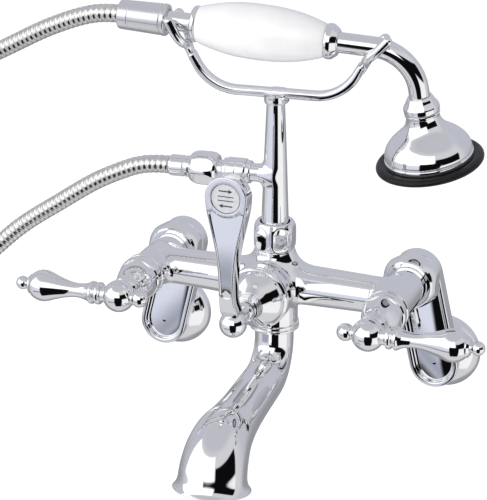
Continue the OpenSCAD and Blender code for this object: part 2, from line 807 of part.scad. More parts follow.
valve_body();
bonnet(-1);  // left_bonnet
bonnet(1);  // right_bonnet
cartridge(-1);  // left_cartridge
cartridge(1);  // right_cartridge
cartridge_seals();
union_nut(-1);  // left_union_nut
union_nut(1);  // right_union_nut
union_washers();
diverter_bonnet();
diverter_gland_nut();
spout();
spout_washer();
riser_column();
riser_nut();
riser_washer();
tee_union();
hose_nut();
hose_ferrule();
hose_washer();
cradle();
cradle_screw();
hose();
wall_arm(-1);  // left_arm
wall_flange(-1);  // left_wall_flange
wall_arm(1);  // right_arm
wall_flange(1);  // right_wall_flange
arm_seal(-1);  // arm_seal_left
arm_seal(1);  // arm_seal_right
handle_hub(-1);  // left_handle_hub
lever(-1);  // left_lever
lock_ball(-1);  // left_lock_ball
spindle(-1);  // left_spindle
ceramic_disc(-1);  // left_ceramic_disc
handle_hub(1);  // right_handle_hub
lever(1);  // right_lever
lock_ball(1);  // right_lock_ball
spindle(1);  // right_spindle
ceramic_disc(1);  // right_ceramic_disc
diverter_stem();
diverter_plug();
diverter_lever();
diverter_plate();
diverter_lever_screw();
diverter_seals();
handset_grip();
handset_rear_ring();
handset_front_collar();
handset_neck();
handset_gooseneck();
head_nut();
shower_head();
head_band();
spray_plate();
head_bumper();
hose_sleeve();
sleeve_washer();
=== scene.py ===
import json
from math import atan, atan2, cos, hypot, pi, radians, sin, tau

import bmesh
import bpy
import numpy as np
from mathutils import Matrix, Vector
from mathutils.geometry import delaunay_2d_cdt


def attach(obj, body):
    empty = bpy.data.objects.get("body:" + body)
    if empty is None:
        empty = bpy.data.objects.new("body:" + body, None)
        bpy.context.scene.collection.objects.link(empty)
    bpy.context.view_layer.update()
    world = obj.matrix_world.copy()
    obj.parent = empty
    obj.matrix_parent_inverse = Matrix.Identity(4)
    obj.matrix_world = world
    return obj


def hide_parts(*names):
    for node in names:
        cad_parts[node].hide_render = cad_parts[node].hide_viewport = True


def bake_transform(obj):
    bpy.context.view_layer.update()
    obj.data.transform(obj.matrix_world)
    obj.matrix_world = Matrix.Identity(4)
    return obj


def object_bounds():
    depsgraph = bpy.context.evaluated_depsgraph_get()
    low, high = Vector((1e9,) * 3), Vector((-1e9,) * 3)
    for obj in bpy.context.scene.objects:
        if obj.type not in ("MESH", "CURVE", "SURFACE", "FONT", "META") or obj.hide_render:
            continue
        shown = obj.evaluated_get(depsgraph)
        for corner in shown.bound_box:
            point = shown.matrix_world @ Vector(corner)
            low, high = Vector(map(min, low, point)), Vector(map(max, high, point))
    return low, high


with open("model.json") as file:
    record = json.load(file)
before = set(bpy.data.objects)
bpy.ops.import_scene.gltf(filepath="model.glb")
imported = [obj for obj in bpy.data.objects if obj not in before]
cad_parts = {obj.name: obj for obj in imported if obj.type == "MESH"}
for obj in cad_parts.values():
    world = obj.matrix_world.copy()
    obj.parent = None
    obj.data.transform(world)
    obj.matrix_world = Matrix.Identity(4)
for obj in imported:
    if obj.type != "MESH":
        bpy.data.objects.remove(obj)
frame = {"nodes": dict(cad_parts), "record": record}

cad_low, cad_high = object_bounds()

# Driving dimensions, in millimetres as in the CAD model
HUB = Vector((0, -72, 65.5))
HALF_SPACING = 89
ARM_SHIFT = 15.5
ARM_LENGTH = hypot(ARM_SHIFT, HUB.z)
ARM_SWING = atan(ARM_SHIFT / HUB.z)
RISER_TURN = radians(5.7)
TEE_Z = 78
HANDLE_REACH = 65.3
LEVER_TRIM = {-1: radians(-0.8), 1: radians(1.8)}
HANDSET_Z = 176
HANDSET_TILT = radians(3.3)
HANDSET_ROLL = radians(8.6)
BEND_START = 66
BEND_R = 32
BEND_ANGLE = radians(78)
NECK_R = 6.9
HUB_BOTTOM = -34.5
WALL = -72

BODY_OF = {
    node: body
    for body, nodes in frame["record"]["behaviour"]["bodies"].items()
    for node in nodes
}
SLOT_OF = {part["node"]: part["material_slot"] for part in frame["record"]["subparts"]}
SIDES = {"left": -1, "right": 1}


def linked(name, data):
    """A new object in the scene."""
    made = bpy.data.objects.new(name, data)
    bpy.context.scene.collection.objects.link(made)
    return made


# ---------- camera ----------

CAMERA_PLACE = (0.4195, -1.209, 0.5665)
CAMERA_TARGET = (-0.0233, -0.072, 0.0846)
CAMERA_LENS = 135.6


def make_camera():
    data = bpy.data.cameras.new("camera")
    data.lens = CAMERA_LENS
    data.sensor_width = 36
    data.clip_end = 50
    camera = linked("camera", data)
    place = Vector(CAMERA_PLACE)
    camera.location = place
    camera.rotation_euler = (Vector(CAMERA_TARGET) - place).to_track_quat("-Z", "Y").to_euler()
    bpy.context.scene.camera = camera


make_camera()


# ---------- frames, as in the CAD model ----------

def move(x, y, z):
    return Matrix.Translation((x, y, z))


def turn(angle, axis):
    return Matrix.Rotation(angle, 4, axis)


AT_HUB = Matrix.Translation(HUB)
AT_DIVERTER = AT_HUB @ turn(pi / 2, "X")
AT_RISER = AT_HUB @ turn(RISER_TURN, "Z")
AT_TEE = AT_RISER @ move(0, 0, TEE_Z) @ turn(-pi / 2, "Y")
AT_HANDSET = AT_RISER @ move(0, 0, HANDSET_Z) @ turn(HANDSET_TILT, "Y") @ turn(HANDSET_ROLL, "X")
ALONG_HANDSET = AT_HANDSET @ turn(pi / 2, "Y")
AT_HEAD = (AT_HANDSET @ move(BEND_START, 0, -BEND_R) @ turn(BEND_ANGLE, "Y")
           @ move(0, 0, BEND_R) @ turn(pi / 2, "Y"))


def at_valve(side):
    return AT_HUB @ move(side * HALF_SPACING, 0, 0) @ turn(pi / 2, "X")


def at_arm(side):
    return at_valve(side) @ turn(side * ARM_SWING, "Z")


def at_lever(side):
    return (at_valve(side) @ move(0, 0, HANDLE_REACH) @ turn(side * LEVER_TRIM[side], "Z")
            @ turn(side * pi / 2, "Y"))


# ---------- lines ----------

def spline(points, steps):
    """Catmull-Rom line through points, with steps pieces between neighbours."""
    p = np.array(points, float)
    line = []
    for i in range(len(p) - 1):
        a, b, c, d = p[max(i - 1, 0)], p[i], p[i + 1], p[min(i + 2, len(p) - 1)]
        for k in range(steps):
            t = k / steps
            line.append(0.5 * (2 * b + (c - a) * t + (2 * a - 5 * b + 4 * c - d) * t ** 2
                               + (3 * b - a - 3 * c + d) * t ** 3))
    line.append(p[-1])
    return [tuple(q) for q in line]


def arc(centre, r, start, end, steps):
    """Points (across, along) of an arc, angles in degrees."""
    angles = np.radians(np.linspace(start, end, steps + 1))
    return [(centre[0] + r * cos(a), centre[1] + r * sin(a)) for a in angles]


def rounded(points, fillet, steps=4):
    """The line through 2-D points with its corners rounded off."""
    p = [np.array(q, float) for q in points]
    line = [p[0]]
    for before, here, after in zip(p, p[1:], p[2:]):
        back, on = before - here, after - here
        lb, lo = np.linalg.norm(back), np.linalg.norm(on)
        if lb < 1e-9 or lo < 1e-9:
            continue
        turned = np.dot(back, on) / (lb * lo)
        if turned < -0.985:
            line.append(here)
            continue
        reach = min(fillet, 0.45 * lb, 0.45 * lo)
        a, b = here + back / lb * reach, here + on / lo * reach
        for t in np.linspace(0, 1, steps + 1):
            line.append((1 - t) ** 2 * a + 2 * t * (1 - t) * here + t ** 2 * b)
    line.append(p[-1])
    return [tuple(q) for q in line]


def spaced(points, step):
    """The same line with its long pieces cut to at most step."""
    line = [points[0]]
    for a, b in zip(points, points[1:]):
        n = max(1, int(np.ceil(np.linalg.norm(np.subtract(b, a)) / step)))
        for k in range(1, n + 1):
            line.append(tuple(np.array(a) + (np.array(b) - np.array(a)) * k / n))
    return line


def lengths(points):
    p = np.array(points, float)
    return np.concatenate([[0], np.cumsum(np.linalg.norm(np.diff(p, axis=0), axis=1))])


def resampled(points, count):
    """count points at even spacing along a line."""
    p, s = np.array(points, float), lengths(points)
    return np.stack([np.interp(np.linspace(0, s[-1], count), s, p[:, k]) for k in range(p.shape[1])], 1)


def smooth_min(a, b, k):
    h = np.clip(0.5 + 0.5 * (b - a) / k, 0, 1)
    return b + (a - b) * h - k * h * (1 - h)


# ---------- shapes: vertices, faces and, where known, normals ----------

def strips(rings, closed=False, start=None, end=None):
    """Faces between neighbouring rings of points. start and end are cap points."""
    rings = np.array(rings, float)
    m, n = rings.shape[:2]
    verts = rings.reshape(-1, 3)
    i = np.arange(m if closed else m - 1)[:, None]
    k = np.arange(n)[None, :]
    j, k1 = (i + 1) % m, (k + 1) % n
    quads = np.stack(np.broadcast_arrays(i * n + k, j * n + k, j * n + k1, i * n + k1), -1)
    faces = quads.reshape(-1, 4).tolist()
    if not closed:
        verts = np.vstack([verts, [start if start is not None else rings[0].mean(0)],
                           [end if end is not None else rings[-1].mean(0)]])
        first, last = m * n, m * n + 1
        for a in range(n):
            faces.append([first, a, (a + 1) % n])
            faces.append([last, (m - 1) * n + (a + 1) % n, (m - 1) * n + a])
    return {"v": verts, "f": faces, "n": None}


def placed(shape, matrix):
    m = np.array(matrix, float)
    made = dict(shape)
    made["v"] = shape["v"] @ m[:3, :3].T + m[:3, 3]
    if shape["n"] is not None:
        made["n"] = shape["n"] @ m[:3, :3].T
    return made


def merged(*shapes):
    verts, faces, normals, count = [], [], [], 0
    for s in shapes:
        verts.append(s["v"])
        faces += [[i + count for i in f] for f in s["f"]]
        normals.append(s["n"] if s["n"] is not None else np.zeros_like(s["v"]))
        count += len(s["v"])
    return {"v": np.vstack(verts), "f": faces, "n": np.vstack(normals)}


def circle(radius, z, angle):
    """Ring of points about Z; radius is one number or one for each angle."""
    return np.stack([radius * np.cos(angle), radius * np.sin(angle), np.full(len(angle), z)], 1)


def lathe(profile, fillet=0.45, bore=None, flats=None, count=96, step=3.0):
    """Solid of revolution about Z through (radius, height) points, with rounded corners.
    bore is the radius of a hole right through. flats is the width across six dressed flats."""
    line = rounded(profile, fillet)
    if bore is not None:
        line = rounded([(bore, line[0][1]), *line, (bore, line[-1][1])], 0.3)
    if flats:
        count, step = 264, 0.4
    line = spaced(line, step)
    angle = np.arange(count) * tau / count
    rings = []
    for r, z in line:
        radius = r
        if flats and r > (bore or 0) + 0.5:
            across = np.abs((angle + pi / 6) % (pi / 3) - pi / 6)
            radius = smooth_min(r, flats / 2 / np.cos(across), 0.25)
        rings.append(circle(radius, z, angle))
    if bore is not None:
        return strips(rings, closed=True)
    poles = [np.array([0, 0, line[0][1]]), np.array([0, 0, line[-1][1]])]
    rings = [ring for ring, (r, z) in zip(rings, line) if r > 1e-6]
    return strips(rings, start=poles[0], end=poles[1])


def ball(r, z):
    """Ball about Z with its middle at height z."""
    return lathe([(max(a, 0), b) for a, b in arc((0, z), r, -90, 90, 36)], count=72)


def frames_along(points):
    """Headings and two directions across them that don't twist along the line."""
    p = np.array(points, float)
    heading = np.gradient(p, axis=0)
    heading /= np.linalg.norm(heading, axis=1)[:, None]
    side = np.array([0.0, 1.0, 0.0])
    across = []
    for t in heading:
        side = side - t * np.dot(side, t)
        side /= np.linalg.norm(side)
        across.append(side)
    across = np.array(across)
    return p, heading, across, np.cross(heading, across)


def ring_at(p, u, v, a, b, angle, power=1.0):
    c, s = np.cos(angle), np.sin(angle)
    if power != 1.0:
        c = np.sign(c) * np.abs(c) ** power
        s = np.sign(s) * np.abs(s) ** power
    return p + a * c[:, None] * u + b * s[:, None] * v


def sweep(points, radii, count=48, aspect=None, power=1.0, bore=None):
    """Tube along points; aspect is the second half width, bore the inner radius at each point."""
    p, heading, u, v = frames_along(points)
    angle = np.arange(count) * tau / count
    second = radii if aspect is None else aspect
    rings = [ring_at(p[i], u[i], v[i], radii[i], second[i], angle, power) for i in range(len(p))]
    if bore is None:
        return strips(rings)
    inner = [ring_at(p[i], u[i], v[i], bore[i], bore[i], angle) for i in range(len(p))]
    return strips(rings + inner[::-1], closed=True)


def inside(points, loop):
    """Whether each point lies inside a closed outline, by counting crossings."""
    x, y = points[:, 0], points[:, 1]
    odd = np.zeros(len(points), bool)
    for (ax, ay), (bx, by) in zip(loop, np.roll(loop, -1, axis=0)):
        if ay != by:
            odd ^= ((ay > y) != (by > y)) & (x < ax + (y - ay) * (bx - ax) / (by - ay))
    return odd


def filled(outer, holes, height, inner=()):
    """Flat or gently curved face inside outer, with holes; height gives z at (x, y)."""
    points, edges = [], []
    for loop in [outer, *holes]:
        first = len(points)
        points += [Vector(p) for p in loop]
        edges += [(first + k, first + (k + 1) % len(loop)) for k in range(len(loop))]
    points += [Vector(p) for p in inner]
    verts, _, faces, *_ = delaunay_2d_cdt(points, edges, [], 0, 1e-6)
    xy = np.array([tuple(v) for v in verts])
    faces = np.array(faces)
    centres = xy[faces].mean(1)
    keep = inside(centres, outer)
    for hole in holes:
        keep &= ~inside(centres, hole)
    xyz = np.array([(x, y, height(x, y)) for x, y in xy])
    return {"v": xyz, "f": faces[keep].tolist(), "n": None}


def flat(height):
    return lambda x, y: height


def open_strips(layers):
    """Walls through matching outlines, open at both ends."""
    rings = [np.column_stack([xy, z if np.ndim(z) else np.full(len(xy), z)]) for xy, z in layers]
    shape = strips(rings)
    n, count = len(rings[0]), len(rings) * len(rings[0])
    return {"v": shape["v"][:count], "f": shape["f"][:n * (len(rings) - 1)], "n": None}


def welded(shape):
    """The shape with doubled vertices joined, so that its faces share normals."""
    key = np.round(shape["v"], 4)
    unique, index = np.unique(key, axis=0, return_inverse=True)
    index = index.ravel()
    faces = [[int(index[i]) for i in f] for f in shape["f"]]
    faces = [f for f in faces if len(set(f)) == len(f)]
    return {"v": unique, "f": faces, "n": None}


# ---------- pieces ----------

def make_piece(name, shape, materials, node, rides=True, material_of=None):
    """One mesh object that replaces a CAD node and, when rides is set, rides its body."""
    mesh = bpy.data.meshes.new(name)
    mesh.from_pydata((shape["v"] * 0.001).tolist(), [], shape["f"])
    mesh.validate()
    work = bmesh.new()
    work.from_mesh(mesh)
    bmesh.ops.recalc_face_normals(work, faces=work.faces)
    work.to_mesh(mesh)
    work.free()
    mesh.shade_smooth()
    set_normals(mesh, shape["n"])
    obj = linked(name, mesh)
    for material in materials:
        mesh.materials.append(material)
    if material_of is not None:
        mesh.polygons.foreach_set("material_index", np.array(material_of, np.int32))
    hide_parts(node)
    if rides:
        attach(obj, BODY_OF[node])
    return obj


def read(items, what, width=1, kind=float):
    """One attribute of all of a mesh's items, as an array."""
    values = np.empty(len(items) * width, kind)
    items.foreach_get(what, values)
    return values.reshape(-1, width) if width > 1 else values


def set_normals(mesh, known):
    """Normals weighted by face area, so flats stay flat, or the known ones where given."""
    count = len(mesh.vertices)
    loops = read(mesh.loops, "vertex_index", kind=np.int32)
    corners = read(mesh.polygons, "loop_total", kind=np.int32)
    sized = read(mesh.polygons, "normal", 3) * read(mesh.polygons, "area")[:, None]
    weighted = np.repeat(sized, corners, axis=0)
    normals = np.zeros((count, 3))
    for k in range(3):
        normals[:, k] = np.bincount(loops, weights=weighted[:, k], minlength=count)
    if known is not None and len(known) == count:
        given = np.linalg.norm(known, axis=1) > 0.5
        normals[given] = known[given]
    normals /= np.maximum(np.linalg.norm(normals, axis=1), 1e-12)[:, None]
    mesh.normals_split_custom_set_from_vertices(normals.tolist())


# ---------- castings: blended solids as a distance function ----------

def gradient(distance, p, h=0.02):
    g = np.zeros_like(p)
    for k in range(3):
        step = np.zeros(3)
        step[k] = h
        g[:, k] = (distance(p + step) - distance(p - step)) / (2 * h)
    return g


def cast_shape(distance, rough, voxel):
    """Mesh of the surface distance = 0, from a rough closed shape that lies near it."""
    mesh = bpy.data.meshes.new("rough")
    mesh.from_pydata(rough["v"].tolist(), [], rough["f"])
    obj = linked("rough", mesh)
    remesh = obj.modifiers.new("remesh", "REMESH")
    remesh.mode = "VOXEL"
    remesh.voxel_size = voxel
    evaluated = obj.evaluated_get(bpy.context.evaluated_depsgraph_get())
    made = bpy.data.meshes.new_from_object(evaluated)
    verts = read(made.vertices, "co", 3)
    edges = read(made.edges, "vertices", 2, np.int64)
    faces = [list(f.vertices) for f in made.polygons]
    bpy.data.objects.remove(obj)
    bpy.data.meshes.remove(mesh)
    bpy.data.meshes.remove(made)
    degree = np.maximum(np.bincount(edges.ravel(), minlength=len(verts)), 1)[:, None]
    for _ in range(8):
        mean = np.zeros_like(verts)
        for k in range(3):
            mean[:, k] = (np.bincount(edges[:, 0], weights=verts[edges[:, 1], k], minlength=len(verts))
                          + np.bincount(edges[:, 1], weights=verts[edges[:, 0], k], minlength=len(verts)))
        verts = 0.5 * verts + 0.5 * mean / degree
        for _ in range(3):
            g = gradient(distance, verts)
            verts = verts - g * (distance(verts) / np.maximum((g * g).sum(1), 0.2))[:, None]
    g = gradient(distance, verts)
    g /= np.linalg.norm(g, axis=1)[:, None]
    return {"v": verts, "f": faces, "n": g}


def rod(p, axis, r, start, end, edge=0.6):
    """Distance to a rod along one axis; r may be a function of the place along it."""
    along = p[:, axis]
    others = [k for k in range(3) if k != axis]
    radius = np.hypot(p[:, others[0]], p[:, others[1]])
    size = r(along) if callable(r) else r
    d_side = radius - size + edge
    d_end = np.abs(along - (start + end) / 2) - (end - start) / 2 + edge
    outside = np.hypot(np.maximum(d_side, 0), np.maximum(d_end, 0))
    return outside + np.minimum(np.maximum(d_side, d_end), 0) - edge


# ---------- materials ----------

class NodeTree:
    """A node tree that the materials and the world build on."""

    def __init__(self, tree):
        self.tree = tree

    def node(self, kind, inputs, **settings):
        """A new node with these settings, whose inputs take values or other nodes' outputs."""
        made = self.tree.nodes.new(kind)
        for key, value in settings.items():
            setattr(made, key, value)
        self.feed(made, inputs)
        return made

    def feed(self, node, inputs):
        for key, value in inputs.items():
            if isinstance(value, bpy.types.NodeSocket):
                self.tree.links.new(value, node.inputs[key])
            else:
                node.inputs[key].default_value = value


class Nodes(NodeTree):
    """A material's node tree with the few building steps that the materials share."""

    def __init__(self, name, values):
        self.material = bpy.data.materials.new(name)
        self.material.use_nodes = True
        super().__init__(self.material.node_tree)
        self.shader = self.tree.nodes["Principled BSDF"]
        self.feed(self.shader, values)
        self.place = self.node("ShaderNodeTexCoord", {}).outputs["Object"]

    def noise(self, scale, detail, stretch=(1, 1, 1)):
        place = self.node("ShaderNodeMapping", {"Scale": stretch, "Vector": self.place}).outputs[0]
        inputs = {"Scale": scale, "Detail": detail, "Vector": place}
        return self.node("ShaderNodeTexNoise", inputs).outputs["Fac"]

    def ranged(self, noise, low, high):
        """The middle of a noise's range, spread from low to high."""
        inputs = {"Value": noise, "From Min": 0.3, "From Max": 0.7, "To Min": low, "To Max": high}
        return self.node("ShaderNodeMapRange", inputs).outputs["Result"]

    def tinted(self, noise, first, second):
        inputs = {"A": (*first, 1), "B": (*second, 1), "Factor": self.ranged(noise, 0, 1)}
        mix = self.node("ShaderNodeMix", inputs, data_type="RGBA")
        self.feed(self.shader, {"Base Color": mix.outputs["Result"]})

    def rough(self, noise, low, high):
        self.feed(self.shader, {"Roughness": self.ranged(noise, low, high)})

    def bumped(self, noise, distance, strength):
        inputs = {"Strength": strength, "Distance": distance, "Height": noise}
        self.feed(self.shader, {"Normal": self.node("ShaderNodeBump", inputs).outputs["Normal"]})


def made_of(name, values, tint, colours, rough=None, roughness=None, bump=None, relief=None):
    """A material whose colour, roughness and height each follow a noise: (scale, detail, stretch)."""
    m = Nodes(name, values)
    m.tinted(m.noise(*tint), *colours)
    if rough:
        m.rough(m.noise(*rough), *roughness)
    if bump:
        m.bumped(m.noise(*bump), *relief)
    return m.material


METAL = {"Metallic": 1.0}
PLAIN = {"Metallic": 0.0}
SATIN_LINES = (1, 2, (5200, 60, 60))
TURNING_MARKS = (1, 2, (40, 1800, 40))

# Finish of each slot: colours between two ends, roughness from low to high, depth of the relief in
# metres and its strength
MATERIALS = {
    # Polished plating with faint wipe marks and the slight unevenness of a buffed casting
    "chrome": made_of("polished_chrome", METAL, (45, 4, (1, 1, 2.5)),
                      [(0.86, 0.865, 0.885), (0.9, 0.9, 0.905)],
                      (160, 5), (0.012, 0.04), (38, 1), (0.00003, 0.35)),
    # Machined brass with turning marks
    "brass": made_of("machined_brass", METAL, TURNING_MARKS, [(0.66, 0.48, 0.2), (0.82, 0.63, 0.31)],
                     TURNING_MARKS, (0.2, 0.34), TURNING_MARKS, (0.00002, 0.5)),
    # Moulded black rubber with a fine matt grain
    "rubber": made_of("black_rubber", {"Metallic": 0.0, "Specular IOR Level": 0.3}, (300, 4),
                      [(0.002, 0.002, 0.0025), (0.007, 0.007, 0.008)],
                      (90, 3), (0.26, 0.4), (2600, 2), (0.00002, 0.35)),
    # Glazed porcelain: a warm body under a clear glaze that pools a little
    "porcelain": made_of("white_porcelain", {"Metallic": 0.0, "Coat Weight": 0.6, "Coat Roughness": 0.06,
                                             "Specular IOR Level": 0.6},
                         (70, 4), [(0.8, 0.797, 0.79), (0.84, 0.838, 0.834)],
                         (120, 3), (0.16, 0.24), (60, 2), (0.00004, 0.3)),
    # Bright stainless strip whose colour and roughness vary at random
    "hose_steel": made_of("hose_steel", METAL, (220, 4), [(0.72, 0.705, 0.68), (0.86, 0.845, 0.82)],
                          (500, 3), (0.17, 0.28), (900, 2), (0.00002, 0.4)),
    # Turned nickel with fine lines round the sleeve
    "satin_chrome": made_of("satin_nickel", METAL, SATIN_LINES, [(0.8, 0.8, 0.81), (0.86, 0.86, 0.87)],
                            SATIN_LINES, (0.2, 0.27), SATIN_LINES, (0.000006, 0.4)),
    # Lapped ceramic disc
    "ceramic": made_of("ground_ceramic", PLAIN, (400, 4), [(0.8, 0.79, 0.74), (0.88, 0.87, 0.83)],
                       (800, 3), (0.25, 0.4), (1500, 2), (0.00001, 0.4)),
}
# Dark fill in the marks of the diverter's plate, and the plate's light enamel
ENGRAVING = made_of("engraved_black", PLAIN, (900, 3), [(0.02, 0.02, 0.022), (0.05, 0.05, 0.055)],
                    (900, 3), (0.4, 0.6))
ENAMEL = made_of("plate_enamel", {"Metallic": 0.0, "Coat Weight": 0.5}, (300, 3),
                 [(0.5, 0.505, 0.52), (0.58, 0.585, 0.6)],
                 (700, 3), (0.25, 0.4), (900, 2), (0.00001, 0.4))


def piece(node, shape):
    """The piece that replaces one CAD node, with the finish of its slot."""
    make_piece(node + "_piece", shape, [MATERIALS[SLOT_OF[node]]], node)


def turned(node, matrix, profile, fillet=0.45, **kind):
    """A turned piece: its profile goes to the lathe and the result is placed by the matrix."""
    piece(node, placed(lathe(profile, fillet, **kind), matrix))


# ---------- hose ----------

RIB_PITCH = 4
RIB_STEPS = 6
GROOVE_R = 5.55
RIB_HEIGHT = 0.75
# Points that the hose's middle runs through, in millimetres
HOSE_ROUTE = [
    (-74.8, -79.5, 143.5), (-82.8, -80.3, 143.3), (-94.8, -81.4, 141.7), (-108, -82.6, 136.9),
    (-130, -85, 125.9), (-157, -87.5, 107.9), (-184, -90, 89.1), (-205, -92, 70.5),
    (-230, -94, 45.5), (-258, -96, 11.5), (-280, -97, -30.5), (-294, -98, -82.5), (-301, -98, -140.5),
    (-304, -98, -199.5), (-307, -98, -254.5), (-316, -97, -306.5), (-334, -97, -342.5),
    (-362, -96, -360.5), (-392, -96, -352.5), (-414, -95, -326.5), (-427, -95, -286.5),
    (-434, -94, -234.5), (-437, -93, -174.5), (-434, -92, -116.5), (-426, -91, -62.5),
    (-411, -90, -8.5), (-389, -89, 43.5), (-360, -88, 91.5), (-326, -87, 132.5), (-288, -86, 165.5),
    (-245, -85, 191.5), (-201, -84, 213.5), (-170, -84, 229.9), (-153, -84, 237.7),
    (-139, -84, 243.1), (-126, -83.8, 246.7), (-114.4, -83.3, 247.9), (-108.5, -82.8, 247.8),
]


def make_hose():
    """Interlocked metal hose: one round rib every few millimetres along the route."""
    line = spline(HOSE_ROUTE, 16)
    total = lengths(line)[-1]
    ribs = round(total / RIB_PITCH)
    p = resampled(line, ribs * RIB_STEPS + 1)
    phase = (np.arange(len(p)) % RIB_STEPS) / RIB_STEPS
    r = GROOVE_R + RIB_HEIGHT * np.abs(np.sin(pi * phase)) ** 0.45
    obj = make_piece("shower_hose", sweep(p, r, 20), [MATERIALS["hose_steel"]], "hose", rides=False)
    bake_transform(obj)


make_hose()


# ---------- valve body ----------

def body_distance(p):
    bar = rod(p, 0, lambda x: np.interp(np.abs(x), (0, 24, 76, 89), (14.2, 14.0, 12.8, 12.8)), -89, 89)
    upper = rod(p, 2, lambda z: np.interp(z, (0, 25), (14.6, 13.6)), -4, 24.9)
    lower = rod(p, 2, 16.4, HUB_BOTTOM + 1, 6)
    boss = rod(p * (1, -1, 1), 1,
               lambda f: np.interp(f, (0, 14, 22, 26, 33), (17, 17, 20.4, 21.8, 21.8)), 0, 33)
    total = smooth_min(bar, upper, 15)
    total = smooth_min(total, lower, 6)
    total = smooth_min(total, boss, 6)
    for side in (-1, 1):
        barrel = rod(p - (side * HALF_SPACING, 0, 0), 1, 13.5, -21, 32)
        total = smooth_min(total, barrel, 6)
    return total


def plain_rod(r, start, end, matrix=None):
    shape = lathe([(0, start), (r, start), (r, end), (0, end)], count=48)
    return placed(shape, matrix) if matrix is not None else shape


def make_valve_body():
    along_x = turn(pi / 2, "Y")
    forward = turn(pi / 2, "X")
    rough = merged(
        plain_rod(14, -89, 89, along_x),
        plain_rod(15.5, HUB_BOTTOM + 1, 24.9),
        plain_rod(20, 0, 33, forward),
        *[plain_rod(13.5, -32, 21, move(side * HALF_SPACING, 0, 0) @ forward) for side in (-1, 1)],
    )
    body = cast_shape(body_distance, rough, 1.1)
    foot = lathe([(0, -34.5), (16.8, -34.5), (17.5, -33.9), (17.5, -32.6), (16.9, -32),
                  (17.3, -31.3), (17.3, -29.8), (16.2, -29), (0, -29)], 0.3)
    throat = lathe([(0, 24), (11.4, 24), (11.4, 36), (0, 36)], bore=6)
    piece("valve_body", placed(merged(body, foot, throat), AT_HUB))


make_valve_body()


# ---------- valves ----------

def make_bonnet(side, word):
    lower = lathe([(10.9, 12.2), (10.9, 20.9), (14.6, 21.05), (15.1, 21.6), (15.1, 24.4), (14.3, 25.0),
                   (14.3, 27.2), (15.2, 27.9), (15.2, 32), (14.6, 32.8), (14.2, 33.4)], bore=3.2)
    dome = lathe([(14.3, 32.6), *spline([(14.2, 34), (13.9, 36.6), (13, 40.4), (11.6, 44.5),
                                         (10.2, 47.6)], 5), (9.3, 49.9)], bore=3.2, flats=27)
    piece(f"{word}_bonnet", placed(merged(lower, dome), at_valve(side)))


def make_union_nut(side, word):
    profile = [(14.6, -38.4), (19.4, -38.4), (20.4, -37), (20.4, -33),
               *spline([(19.8, -30), (18.6, -27), (17.4, -24.8)], 4), (16.2, -23.8)]
    turned(f"{word}_union_nut", at_valve(side), profile, bore=13.55, flats=37.6)


for word, side in SIDES.items():
    make_bonnet(side, word)
    make_union_nut(side, word)


# ---------- wall arms ----------

ARM_R = 17.5
ARM_FRONT = -42
ARM_BACK = -53
INLET_R = 9.6
FLANGE_R = 27
POCKET_R = 12.9
POCKET = 3.4
# The pocket's floor drops from its crest with the square of the distance, along and across the arm
POCKET_CREST = -74
POCKET_BOW = (0.00068, 0.0058)


def racetrack(r, around=40, along=22):
    """Outline round two centres, the valve's axis and the wall inlet's."""
    top = arc((0, 0), r, 0, 180, around)
    bottom = arc((0, -ARM_LENGTH), r, 180, 360, around)
    left = np.linspace(top[-1], bottom[0], along + 1)[1:-1]
    right = np.linspace(bottom[-1], top[0], along + 1)[1:-1]
    return np.vstack([top, left, bottom, right])


def pocket_floor(xy):
    """Height of the pocket's floor at points (across, along) the arm."""
    along, across = POCKET_BOW
    drop = along * (xy[:, 1] - POCKET_CREST) ** 2 + across * xy[:, 0] ** 2
    return ARM_FRONT - POCKET - drop


def arm_plate():
    """The arm's plate: rounded back edge, side, rolled rim, pocket wall and bowed floor."""
    steps = [
        (-0.9, ARM_BACK), (-0.3, ARM_BACK + 0.25), (0, ARM_BACK + 0.9), (0, ARM_BACK + 2),
        (0, ARM_FRONT - 2), (0, ARM_FRONT - 0.9), (-0.27, ARM_FRONT - 0.27), (-0.8, ARM_FRONT),
        (-1.8, ARM_FRONT + 0.15), (-2.9, ARM_FRONT), (-3.5, ARM_FRONT - 0.3), (-3.8, ARM_FRONT - 0.9),
        (-4, ARM_FRONT - 2.4), (-4.15, ARM_FRONT - 3.3),
    ]
    layers = [(racetrack(ARM_R + inset), z) for inset, z in steps]
    for r in (POCKET_R, 12.4, 11, 9, 7, 5, 3, 1.4, 0):
        line = racetrack(r)
        layers.append((line, pocket_floor(line)))
    rear = filled(racetrack(ARM_R - 0.9), [], flat(ARM_BACK))
    return welded(merged(rear, open_strips(layers)))


def make_arm(side, word):
    neck = lathe([(12.4, -47.4), (12.4, -39), (10, -38.9), (10, -36.3), (12.3, -36.2), (12.3, -34.3)],
                 bore=5.5)
    inlet = placed(lathe([(13.4, WALL), (13.4, ARM_BACK + 1)], bore=INLET_R), move(0, -ARM_LENGTH, 0))
    piece(f"{word}_arm", placed(merged(arm_plate(), neck, inlet), at_arm(side)))


def make_wall_flange(side, word):
    """Hollow domed flange: its outside down from the rim, then back up the inside."""
    dome = spline([(FLANGE_R, -69.4), (26.4, -66.2), (24, -61.5), (20.5, -57), (16, -53.5)], 5)
    loop = [(25.4, WALL), (FLANGE_R, WALL), *dome, (13.6, -53.1), (13.6, -57), (20, -60.2),
            (23, -63.2), (25.2, -67.5), (25.4, WALL)]
    line = spaced(rounded(loop, 0.4), 2)
    angle = np.arange(96) * tau / 96
    shape = strips([circle(r, z, angle) for r, z in line[:-1]], closed=True)
    piece(f"{word}_wall_flange", placed(shape, at_arm(side) @ move(0, -ARM_LENGTH, 0)))


for word, side in SIDES.items():
    make_arm(side, word)
    make_wall_flange(side, word)


# ---------- handles ----------

